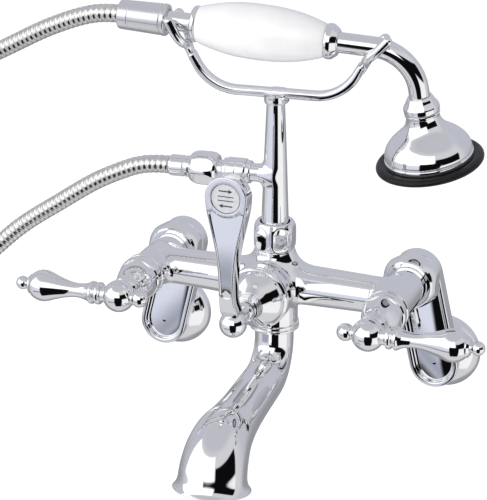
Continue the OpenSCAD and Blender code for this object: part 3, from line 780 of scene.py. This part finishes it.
def make_handle(side, word):
    hub = lathe([(0, 50.3), (9.2, 50.3), (10, 51.1), (10, 53.4), (9.5, 54), (9.9, 54.6), (9.9, 56.6),
                 (9.2, 57.4), (8.4, 58.1), *arc((0, HANDLE_REACH), 11.1, -38, 90, 30)], 0.35)
    seat = lathe([(0, 8), (5.6, 8), (5.6, 12.6), (0, 12.6)])
    stub = lathe([(0, -11.4), (4.4, -11.4), (4.4, -8), (0, -8)])
    piece(f"{word}_handle_hub", merged(placed(hub, at_valve(side)),
                                       placed(merged(seat, stub), at_lever(side))))
    grip = spline([(6, 24), (5.2, 28), (5, 32), (5.6, 37), (6.9, 42.5), (8.8, 48.5), (10.4, 53),
                   (11, 56.5), (10.6, 60), (9.3, 63.2), (7.6, 65.4)], 5)
    lever = [(0, 12.6), (6, 12.6), (7.6, 13.4), (7.9, 14.8), (7.6, 16.1), (6.3, 17), (6.3, 18),
             (7.9, 18.7), (8, 20.3), (7.1, 21.6), *grip, (6.9, 66), (6.9, 67), (5, 68.6),
             (3.2, 69.4), *arc((0, 73.4), 4.7, -52, 90, 20)]
    turned(f"{word}_lever", at_lever(side), lever, 0.4)
    lock = [(0, -3.2), (2, -3.2), (2, -11.4), (4.3, -11.4), *arc((0, -15.4), 6, 40, -90, 24)]
    turned(f"{word}_lock_ball", at_lever(side), lock, 0.3)


for word, side in SIDES.items():
    make_handle(side, word)


# ---------- diverter ----------

def make_diverter_cover():
    dome = spline([(20.2, 37.4), (18.6, 40.6), (15.6, 44.2), (12.4, 47.2), (9.8, 49.9)], 6)
    cover = [(11.9, 21), (11.9, 32.9), (21.6, 33.15), (21.9, 33.8), (21.9, 35), (21, 35.8),
             (20.4, 36.2), *dome]
    turned("diverter_bonnet", AT_DIVERTER, cover, 0.3, bore=4.1)
    grooves = []
    for f in (51.4, 52.7, 54):
        grooves += [(9, f), (9, f + 0.55), (8.5, f + 0.8), (8.5, f + 1.05)]
    gland = [(8.4, 50), (9, 50.6), *grooves, (8.4, 55.4), (7.4, 55.8), (7.4, 57)]
    turned("diverter_gland_nut", AT_DIVERTER, gland, 0.15, bore=4.1)


make_diverter_cover()

LEVER_FRONT = 92
LEVER_THICK = 9.4
DISC_Y = 91
DISC_R = 9.7
HEAD_R = 14.4
PANEL_CREST = 50
LEVER_HALF_WIDTHS = [(4, 6.2), (10, 5.9), (16, 5.3), (24, 5.1), (33, 5.3), (42, 5.9), (52, 7), (62, 8.9),
                     (72, 11.2), (81, 13.2), (88, 14.2)]
LEVER_FOOT = 10
LEVER_BEND = 26
LEVER_BEND_DEPTH = 4.6
WELL_LIP = 0.75
WELL_DEPTH = 1.4


def lever_half_width(y):
    line = np.array(spline(LEVER_HALF_WIDTHS, 6))
    return np.interp(y, line[:, 0], line[:, 1])


def lever_outline(inset):
    """Outline of the diverter lever's face, set in by inset, from its top round to its top."""
    top = arc((0, DISC_Y), HEAD_R - inset, 90, 4, 26)
    ys = np.linspace(88, LEVER_FOOT + 0.5, 42)
    flank = [(lever_half_width(y) - inset, y) for y in ys]
    foot = arc((0, LEVER_FOOT), 5.9 - inset, 0, -90, 10)
    half = top + flank + foot
    return np.array(half + [(-x, y) for x, y in half[-2:0:-1]])


def panel_outline(inset):
    """Outline of the sunk panel below the disc, set in by inset."""
    rim = 1.3 + inset
    r = DISC_R + 3.4 + inset
    start = 44
    cap = [(r * sin(radians(a)), DISC_Y - r * cos(radians(a))) for a in np.linspace(0, start, 10)]
    ys = np.linspace(cap[-1][1] - 0.8, 25, 34)
    flank = [(lever_half_width(y) - rim, y) for y in ys]
    w = flank[-1][0]
    foot = [(w * cos(a), 25 - 3.4 * sin(a) + 0.5 * inset) for a in np.linspace(0.15, pi / 2, 8)]
    half = cap + flank + foot
    return np.array(half + [(-x, y) for x, y in half[-2:0:-1]])


def disc_outline(r, count=72):
    return np.array([(r * sin(a), DISC_Y + r * cos(a)) for a in np.arange(count) * tau / count])


def panel_depth(x, y):
    """The panel's floor bows a little: it is shallowest halfway along the lever."""
    bow = 0.0012 if y > PANEL_CREST else 0.0008
    return 0.75 + bow * (y - PANEL_CREST) ** 2


def lever_body(front, back):
    """The lever's face round its two hollows, its sides and its rear."""
    face = filled(lever_outline(0.7), [panel_outline(-0.35)[::-1], disc_outline(DISC_R + WELL_LIP)[::-1]],
                  flat(front))
    sides = open_strips([
        (lever_outline(0.7), front), (lever_outline(0.3), front - 0.12),
        (lever_outline(0.08), front - 0.4), (lever_outline(0), front - 0.9),
        (lever_outline(-0.5), front - 3.5), (lever_outline(-1.0), back + 1.6),
        (lever_outline(-0.8), back + 0.7), (lever_outline(-0.2), back + 0.15),
        (lever_outline(0.8), back)])
    return merged(face, sides, filled(lever_outline(0.8), [], flat(back)))


def lever_panel(front):
    """Walls and floor of the sunk panel; each row is an inset and its share of the full depth."""
    walls = []
    for inset, share in ((-0.35, 0.0), (-0.1, 0.08), (0.0, 0.3), (0.1, 0.75), (0.3, 0.95), (0.7, 1.0)):
        line = panel_outline(inset)
        walls.append((line, np.array([front - share * panel_depth(x, y) for x, y in line])))
    inner = [(x, y) for y in np.arange(24.5, 78, 2.0) for x in np.arange(-10, 10.1, 2.0)
             if abs(x) < lever_half_width(y) - 3 and hypot(x, y - DISC_Y) > DISC_R + 5 and y > 25]
    floor = filled(panel_outline(0.7), [], lambda x, y: front - panel_depth(x, y), inner)
    return merged(open_strips(walls), floor)


def disc_well(front):
    """Round well that the enamelled disc sits in, with a groove round the disc."""
    floor = front - WELL_DEPTH
    walls = open_strips([
        (disc_outline(DISC_R + WELL_LIP), front), (disc_outline(DISC_R + 0.5), front - 0.1),
        (disc_outline(DISC_R + 0.4), front - 0.35), (disc_outline(DISC_R + 0.4), floor),
        (disc_outline(DISC_R), floor)])
    return merged(walls, filled(disc_outline(DISC_R), [], flat(floor)))


def lever_plate():
    """The lever's plate, whose lower end bends back toward the gland."""
    front = LEVER_FRONT
    plate = welded(merged(lever_body(front, front - LEVER_THICK), lever_panel(front), disc_well(front)))
    low = np.clip((LEVER_BEND - plate["v"][:, 1]) / (LEVER_BEND - LEVER_FOOT), 0, 1.4)
    plate["v"][:, 2] -= LEVER_BEND_DEPTH * low ** 2
    return plate


def foot_distance(p):
    """The lever's foot: a ball in front, a neck back to the gland and a web up into the plate."""
    ball = np.linalg.norm(p - (0, -1, 78.6), axis=1) - 9.3
    neck = rod(p, 2, lambda z: np.interp(z, (57.4, 61, 62.4, 67, 73), (6.6, 6.6, 5.5, 5.5, 6.6)), 57.4, 78)
    low, high = np.array([0, 3, 76.5]), np.array([0, 30, 86.2])
    along = np.clip(((p - low) @ (high - low)) / np.dot(high - low, high - low), 0, 1)
    web = np.linalg.norm(p - low - along[:, None] * (high - low), axis=1) - (5.6 - 1.2 * along)
    return smooth_min(smooth_min(ball, neck, 3), web, 2.5)


def make_diverter_lever():
    rough = merged(ball(9.3, 78), plain_rod(5.6, 57.4, 76),
                   plain_rod(4.4, 2, 28, move(0, 0, 78) @ turn(-pi / 2 + 0.32, "X")))
    foot = cast_shape(foot_distance, rough, 0.8)
    piece("diverter_lever", placed(merged(foot, lever_plate()), AT_DIVERTER))


def arrow(length, width, head):
    """Flat arrow that points along +X, centred on the origin."""
    shaft = width * 0.3
    neck = length / 2 - head
    return np.array([(-length / 2, -shaft), (neck, -shaft), (neck, -width), (length / 2, 0), (neck, width),
                     (neck, shaft), (-length / 2, shaft)])


def mark(line, top):
    """A flat mark with the given outline, standing a little above the enamel."""
    return merged(open_strips([(line, top - 0.15), (line, top)]), filled(line, [], flat(top)))


def make_diverter_plate():
    """Enamelled disc with a turned rim, two plain arrows, one each way, and two bars."""
    top = LEVER_FRONT - 0.4
    disc = placed(lathe([(0, top - 1), (DISC_R - 0.1, top - 1), (DISC_R - 0.1, top), (DISC_R - 0.9, top),
                         (DISC_R - 1.1, top - 0.15), (0, top - 0.15)], 0.1), move(0, DISC_Y, 0))
    right = arrow(9.4, 1.3, 2.7)
    bar = np.array([(-5.4, -0.28), (5.4, -0.28), (5.4, 0.28), (-5.4, 0.28)])
    outlines = [right + (0, 5), (right * (-1, 1))[::-1] - (0, 5), bar - (0, 1.4), bar + (0, 1.4)]
    marks = merged(*[mark(line + (0, DISC_Y), top - 0.05) for line in outlines])
    index = [0] * len(disc["f"]) + [1] * len(marks["f"])
    make_piece("diverter_plate_piece", placed(merged(disc, marks), AT_DIVERTER), [ENAMEL, ENGRAVING],
               "diverter_plate", material_of=index)


make_diverter_lever()
make_diverter_plate()


# ---------- spout ----------

SPOUT_RADII = [(0, 13.7), (20, 13.8), (45, 14.8), (80, 15.6), (100, 17), (115, 19.2), (130, 21.4),
               (143, 22.7), (150, 23.3), (154, 24.6), (156.5, 26.4)]
SPOUT_WALL = 2.2


def spout_line():
    """Middle of the spout: down, forward and down again; (forward, up) from the crossbar's axis."""
    slope, end_slope = radians(6), radians(79)
    centre = np.array([26, HUB_BOTTOM - 7.5])
    first = arc(centre, 26, 180, 270 - 6, 24)
    p1 = np.array(first[-1]) + 69 * np.array([cos(slope), -sin(slope)])
    second_centre = p1 - 28 * np.array([sin(slope), cos(slope)])
    second = arc(second_centre, 28, 90 - 6, 90 - 79, 24)
    end = np.array(second[-1]) + 6.8 * np.array([cos(end_slope), -sin(end_slope)])
    line = [(0, HUB_BOTTOM + 0.02), *first, *second, tuple(end)]
    return [(0, -forward, up) for forward, up in line]


def tube_maker(points):
    """Function of (distance, radius) that gives a ring across the line of points."""
    dense = np.array(resampled(points, 240))
    p, _, u, v = frames_along(dense)
    s = lengths(dense)

    def ring(distance, radius, count):
        q, a, b = ([np.interp(distance, s, m[:, k]) for k in range(3)] for m in (p, u, v))
        angle = np.arange(count) * tau / count
        return np.array(q) + radius * (np.cos(angle)[:, None] * a + np.sin(angle)[:, None] * b)

    return ring, s[-1]


def make_spout():
    ring, total = tube_maker(spout_line())
    radii = np.array(spline(SPOUT_RADII, 8))
    radii[:, 0] *= (total - 0.8) / radii[-1, 0]
    end = radii[-1, 0]
    count = 120
    outer = [ring(s, np.interp(s, radii[:, 0], radii[:, 1]), count) for s in np.linspace(0, end, 150)]
    lip_r = radii[-1, 1]
    lip = [ring(end + ds, lip_r - dr, count)
           for ds, dr in ((0.35, 0.1), (0.65, 0.45), (0.75, 1.0), (0.7, 1.6), (0.4, 2.1), (0, 2.5))]
    inner = [ring(s, max(np.interp(s, radii[:, 0], radii[:, 1]) - SPOUT_WALL - 0.4, 8.6), count)
             for s in np.linspace(end - 1.5, 0, 80)]
    collar = lathe([(10.9, HUB_BOTTOM), (10.9, HUB_BOTTOM + 12)], bore=8.6)
    piece("spout", placed(merged(strips(outer + lip + inner, closed=True), collar), AT_HUB))


make_spout()


# ---------- riser ----------

def column_distance(p):
    column = rod(p, 2, lambda z: np.interp(z, (38, 40, 42, 45, 49, 88, 118, 131),
                                           (10.2, 10.2, 9.9, 9.4, 9.3, 7.9, 6.7, 6.1)), 38, 131, 0.3)
    stub = rod(p * (-1, 1, 1) - (0, 0, TEE_Z), 0,
               lambda x: np.interp(x, (0, 7.5, 10.5, 19), (7.4, 7.2, 6.3, 6.3)), 0, 19, 0.3)
    return smooth_min(column, stub, 4.5)


def make_riser():
    stub = plain_rod(6.3, 0, 19, move(0, 0, TEE_Z) @ turn(-pi / 2, "Y"))
    rough = merged(plain_rod(8, 38, 131), stub)
    column = cast_shape(column_distance, rough, 0.8)
    collar = lathe([(0, 16.6), (7.4, 16.6), (8, 17.3), (8, 20), (0, 20)], 0.35)
    piece("riser_column", merged(placed(column, AT_RISER), placed(collar, AT_TEE)))
    nut = [(13.2, 25.05), (14.3, 26.2), (14.8, 28.4), (14.8, 38.8), (14.2, 42), (12.8, 44.6),
           (11.6, 45), (11.3, 44.2)]
    turned("riser_nut", AT_RISER, nut, 0.8, bore=10.5, flats=27.4)


def make_tee_fittings():
    union = [(8.4, 20.05), (9.1, 20.8), (9.1, 26.4), (8.8, 26.8), (9.1, 27.2), (9.1, 33), (8.4, 33.8),
             (8.4, 36), (6.6, 36.6), (6.4, 50)]
    turned("tee_union", AT_TEE, union, 0.35, bore=4)
    barrel = spline([(11, 42), (11.6, 44.4), (11.8, 49), (11.6, 54.4), (10.8, 57.4)], 5)
    nut = [(8, 40), (9.8, 40.3), *barrel, (9.4, 59.4), (7.8, 60)]
    turned("hose_nut", AT_TEE, nut, 0.3, bore=6.6, flats=21.8)
    ferrule = [(5.5, 54), (5.5, 60), (7.2, 60.1), (7.4, 61), (7.4, 63), (7.05, 63.4), (7.05, 64.4),
               (7.4, 64.8), (7.4, 73.6), (6.7, 75)]
    turned("hose_ferrule", AT_TEE, ferrule, 0.3, bore=3.6)


make_riser()
make_tee_fittings()


# ---------- cradle ----------

YOKE_Z = 135.8


def prong(side, front, seat_z, tip_out, tip_up=15.5):
    tip = (side * (63 + tip_out), front * 12, seat_z + tip_up)
    line = spline([(side * 57.5, 0, 155), (side * 61, front * 1.6, seat_z - 3),
                   (side * 63, front * 8.4, seat_z + 1),
                   (side * (63 + tip_out * 0.45), front * 11.4, seat_z + 7), tip], 10)
    r = 2.9 + 0.45 * np.linspace(0, 1, len(line)) ** 2
    heading = np.subtract(line[-1], line[-2])
    heading /= np.linalg.norm(heading)
    end = [tuple(np.array(line[-1]) + heading * 3.4 * sin(a)) for a in np.linspace(0.15, 1.5, 8)]
    end_r = [3.35 * cos(a) + 0.02 for a in np.linspace(0.15, 1.5, 8)]
    return sweep(line + end, np.concatenate([r, end_r]), 24)


def cradle_line():
    bend = arc((27, YOKE_Z + 32), 32, 270 + 62, 270, 20)
    tail = (bend[0][0] + 7.5 * cos(radians(62)), bend[0][1] + 7.5 * sin(radians(62)))
    right = [tail, *bend]
    line = right + [(-x, z) for x, z in right[::-1]]
    return spaced([(x, 0, z) for x, z in line], 2.5)


def make_cradle():
    line = cradle_line()
    s = lengths(line)
    taper = np.clip(np.minimum(s, s[-1] - s) / 14, 0, 1)
    high = 2.9 + 0.5 * taper
    deep = 4.8 - 0.5 * taper
    bar = sweep(line, deep, 40, aspect=high, power=0.8)
    prongs = [prong(-1, -1, 167, 8), prong(-1, 1, 167, 8), prong(1, -1, 164, 14), prong(1, 1, 164, 8, 11)]
    flare = spline([(8, 130.4), (8, 133), (8.6, 135), (10.5, 136.6)], 5)
    boss = lathe([(6.6, 128.6), (7.4, 128.7), *flare, (10.5, 137)], 0.5, bore=6.15)
    at_screw = move(0, 0, 133) @ turn(radians(65), "Z") @ turn(pi / 2, "X")
    lug = placed(lathe([(0, 3), (3.2, 3), (3.2, 9), (2.9, 9.6), (0, 9.6)], 0.4), at_screw)
    piece("cradle", placed(merged(bar, *prongs, boss, lug), AT_RISER))
    screw = [(0, 6.4), (1.5, 6.4), (1.5, 10), (0.8, 10.2), (0.8, 9.4), (0, 9.4)]
    turned("cradle_screw", AT_RISER @ at_screw, screw, 0.1)


make_cradle()


# ---------- hand shower ----------

def make_handset():
    grip = spline([(12, -53.6), (12.9, -51), (14.8, -44.4), (16.8, -35.4), (18.1, -25.6), (18.6, -14.4),
                   (18.4, -2), (17.4, 9), (15.6, 19), (13.4, 27), (11.6, 32.4)], 5)
    turned("handset_grip", ALONG_HANDSET, [(11.4, -54), *grip, (10.8, 33.95)], 0.5, bore=7.1)
    rear = [(8.4, -58.4), (10.6, -57.9), (11.9, -56.9), (12.3, -55.6), (12.3, -54.6), (11.8, -54.05)]
    turned("handset_rear_ring", ALONG_HANDSET, rear, 0.4, bore=6.6)
    front = [(10.8, 34), (11.6, 34.5), (12, 35.6), (11.9, 38.2), (11.2, 39.4), (9, 42.3), (7.6, 43)]
    turned("handset_front_collar", ALONG_HANDSET, front, 0.5, bore=6.95)
    neck = [(8.2, -83), (8.2, -77), (6.5, -76.9), (6.5, -54), (6.9, -53.9), (6.9, -40)]
    turned("handset_neck", ALONG_HANDSET, neck, 0.2, bore=4)
    sleeve = [(7.4, -109), (9.4, -108.9), (9.9, -108.2), (10.1, -102), (9.9, -101.7), (10.1, -101.4),
              (10.7, -79.6), (10.4, -79.2), (10.4, -78.8), (10.9, -78.2), (10.9, -76.2), (10.3, -75.2),
              (8.8, -75)]
    turned("hose_sleeve", ALONG_HANDSET, sleeve, 0.3, bore=6.55)


def make_gooseneck():
    bend = arc((BEND_START, -BEND_R), BEND_R, 90, 90 - 78, 48)
    tail = np.array(bend[-1]) + 9 * np.array([cos(BEND_ANGLE), -sin(BEND_ANGLE)])
    line = spaced([(-40, 0), (BEND_START, 0)], 4) + bend[1:] + [tuple(tail)]
    points = [(x, 0, z) for x, z in line]
    r = [NECK_R] * len(points)
    piece("handset_gooseneck", placed(sweep(points, r, 64, bore=[5.0] * len(points)), AT_HANDSET))


def make_head():
    nut = [(7.3, 5.4), (8.2, 5.6), *spline([(8.9, 6.8), (10, 9.2), (11.5, 11.4)], 4), (12.1, 12.6),
           (12.1, 15.6), (11.4, 16.35)]
    turned("head_nut", AT_HEAD, nut, 0.5, bore=6.95)
    bell = spline([(12, 17.5), (11.3, 19.4), (11.6, 22), (13, 25.4), (15.8, 28.8), (19.8, 32), (24, 35.4),
                   (27, 38.8), (28.8, 42), (29.6, 45)], 6)
    shell = [(0, 16.4), (11.8, 16.45), *bell, (29.7, 46.2), (29.1, 46.95), (0, 47)]
    turned("shower_head", AT_HEAD, shell, 0.4)
    band = [(29, 47), (29.9, 47.4), (30.2, 48), (30.2, 50.2), (29.8, 51)]
    turned("head_band", AT_HEAD, band, 0.3, bore=26.4)
    bulge = spline([(33.2, 50.6), (35.4, 51.2), (36.6, 52.8), (36.1, 54.6), (34, 55.6), (31, 55.7)], 5)
    bumper = [(29.9, 51), (31, 50.9), *bulge, (28.4, 55.1), (26.6, 54.2)]
    turned("head_bumper", AT_HEAD, bumper, 0.5, bore=26.5)


def make_spray_plate():
    """Face plate with a soft nozzle standing out of each hole."""
    plate = lathe([(0, 50.6), (26.3, 50.6), (26.3, 53.1), (25.7, 53.5), (0, 53.8)], 0.3)
    nozzle = lathe([(1.5, 53.2), (1.5, 53.9), (1.1, 54.5), (1, 55.3), (0.75, 55.35), (0.7, 54.6)], 0.1,
                   bore=0.4, count=16)
    nozzles = []
    for r, count in ((0, 1), (5, 6), (10, 12), (15, 18), (20, 24)):
        for k in range(count):
            nozzles.append(placed(nozzle, turn(tau * k / count, "Z") @ move(r, 0, 0)))
    piece("spray_plate", placed(merged(plate, *nozzles), AT_HEAD))


make_handset()
make_gooseneck()
make_head()
make_spray_plate()


# ---------- the CAD nodes that stay ----------

def dress_cad_nodes():
    for node, obj in frame["nodes"].items():
        obj.data.materials.clear()
        obj.data.materials.append(MATERIALS[SLOT_OF[node]])


dress_cad_nodes()


# ---------- studio ----------

FLOOR_GAP = 0.012
AZIMUTH = atan2(CAMERA_PLACE[0] - CAMERA_TARGET[0], -(CAMERA_PLACE[1] - CAMERA_TARGET[1]))

# Panels of the studio tent: azimuths to the right of the camera and elevations, in degrees,
# colour and softness of the edges. Later panels lie over earlier ones.
BLACK = (0.004, 0.004, 0.005)
PANELS = [
    ((-180, 180), (52, 120), (0.56, 0.565, 0.61), 9),
    ((-180, 180), (-140, -62), (0.7, 0.7, 0.71), 25),
    ((95, 265), (-6, 54), (0.55, 0.56, 0.63), 14),
    ((110, 250), (-75, -6), (0.32, 0.325, 0.35), 16),
    ((-104, 5), (-3, 46), (1.35, 1.35, 1.35), 2),
    ((-78, -20), (-27, -3), (0.76, 0.79, 0.9), 3),
    ((-78, -20), (-27, -21.5), (0.36, 0.375, 0.45), 3.5),
    ((-82, -20), (-29.5, -26.5), (0.06, 0.06, 0.07), 1),
    ((24, 78), (-46, -5), (1.0, 1.0, 1.0), 4),
    ((-30, 24), (-57, 8), BLACK, 2),
    ((8, 78), (-3, 28), BLACK, 2),
]
TENT = (0.7, 0.7, 0.72)


class Studio(NodeTree):
    """The world's node tree, which picks a colour by the direction of a reflection."""

    def math(self, operation, a, b=0.0):
        return self.node("ShaderNodeMath", {0: a, 1: b}, operation=operation).outputs[0]

    def step(self, value, edge, soft, low=0.0, high=1.0):
        inputs = {"Value": value, "From Min": radians(edge - soft), "From Max": radians(edge + soft),
                  "To Min": low, "To Max": high}
        return self.node("ShaderNodeMapRange", inputs, interpolation_type="SMOOTHSTEP").outputs["Result"]

    def band(self, value, start, end, soft):
        """1 between two angles in degrees and 0 outside them."""
        return self.math("MULTIPLY", self.step(value, start, soft), self.step(value, end, soft, 1.0, 0.0))

    def directions(self):
        """Azimuth to the right of the camera from -180 to 180, the same from 0 to 360, elevation."""
        ray = self.node("ShaderNodeTexCoord", {}).outputs["Generated"]
        rotate = self.node("ShaderNodeVectorRotate", {"Angle": -AZIMUTH, "Vector": ray},
                           rotation_type="Z_AXIS")
        x, y, z = self.node("ShaderNodeSeparateXYZ", {"Vector": rotate.outputs["Vector"]}).outputs
        azimuth = self.math("ARCTAN2", x, self.math("MULTIPLY", y, -1.0))
        behind = self.math("MULTIPLY", self.math("LESS_THAN", azimuth, 0.0), tau)
        return azimuth, self.math("ADD", azimuth, behind), self.math("ARCSINE", z)

    def tent(self):
        """Colour of the tent with its panels, each laid over the ones before it."""
        azimuth, wrapped, elevation = self.directions()
        colour = (*TENT, 1)
        for (a0, a1), (e0, e1), shade, soft in PANELS:
            mask = self.band(elevation, e0, e1, soft)
            if (a0, a1) != (-180, 180):
                around = wrapped if a1 > 180 else azimuth
                mask = self.math("MULTIPLY", mask, self.band(around, a0, a1, soft))
            inputs = {"Factor": mask, "A": colour, "B": (*shade, 1)}
            colour = self.node("ShaderNodeMix", inputs, data_type="RGBA").outputs["Result"]
        return colour


def make_world():
    """A pale tent with soft panels and black cards in reflections, and plain white behind the faucet."""
    world = bpy.data.worlds.new("studio")
    bpy.context.scene.world = world
    world.use_nodes = True
    world.node_tree.nodes.clear()
    studio = Studio(world.node_tree)
    tent = studio.node("ShaderNodeBackground", {"Color": studio.tent()})
    plain = studio.node("ShaderNodeBackground", {"Color": (1, 1, 1, 1)})
    seen = studio.node("ShaderNodeLightPath", {}).outputs["Is Camera Ray"]
    mix = studio.node("ShaderNodeMixShader", {0: seen, 1: tent.outputs[0], 2: plain.outputs[0]})
    studio.node("ShaderNodeOutputWorld", {"Surface": mix.outputs[0]})


def make_floor():
    size = 14
    level = cad_low[2] - FLOOR_GAP
    mesh = bpy.data.meshes.new("studio_floor")
    corners = [(-size, -size, level), (size, -size, level), (size, size, level), (-size, size, level)]
    mesh.from_pydata(corners, [], [(0, 1, 2, 3)])
    floor = linked("studio_floor", mesh)
    paper = made_of("floor_paper", {"Metallic": 0.0, "Roughness": 0.9, "Emission Color": (1, 1, 1, 1),
                                    "Emission Strength": 0.35}, (6, 4), [(0.94,) * 3, (0.96,) * 3])
    mesh.materials.append(paper)
    floor.visible_glossy = False


def make_light(name, place, target, size, power):
    data = bpy.data.lights.new(name, "AREA")
    data.shape = "RECTANGLE"
    data.size, data.size_y = size
    data.energy = power
    light = linked(name, data)
    light.location = place
    light.rotation_euler = (Vector(target) - Vector(place)).to_track_quat("-Z", "Y").to_euler()
    light.visible_glossy = False


make_world()
make_floor()
make_light("key", (-0.9, -1.5, 1.7), (0, 0, 0.05), (1.1, 1.1), 19)
make_light("fill", (1.3, -1.2, 0.7), (0, 0, 0.05), (1.2, 1.2), 4)
bpy.context.scene.view_settings.view_transform = "Standard"
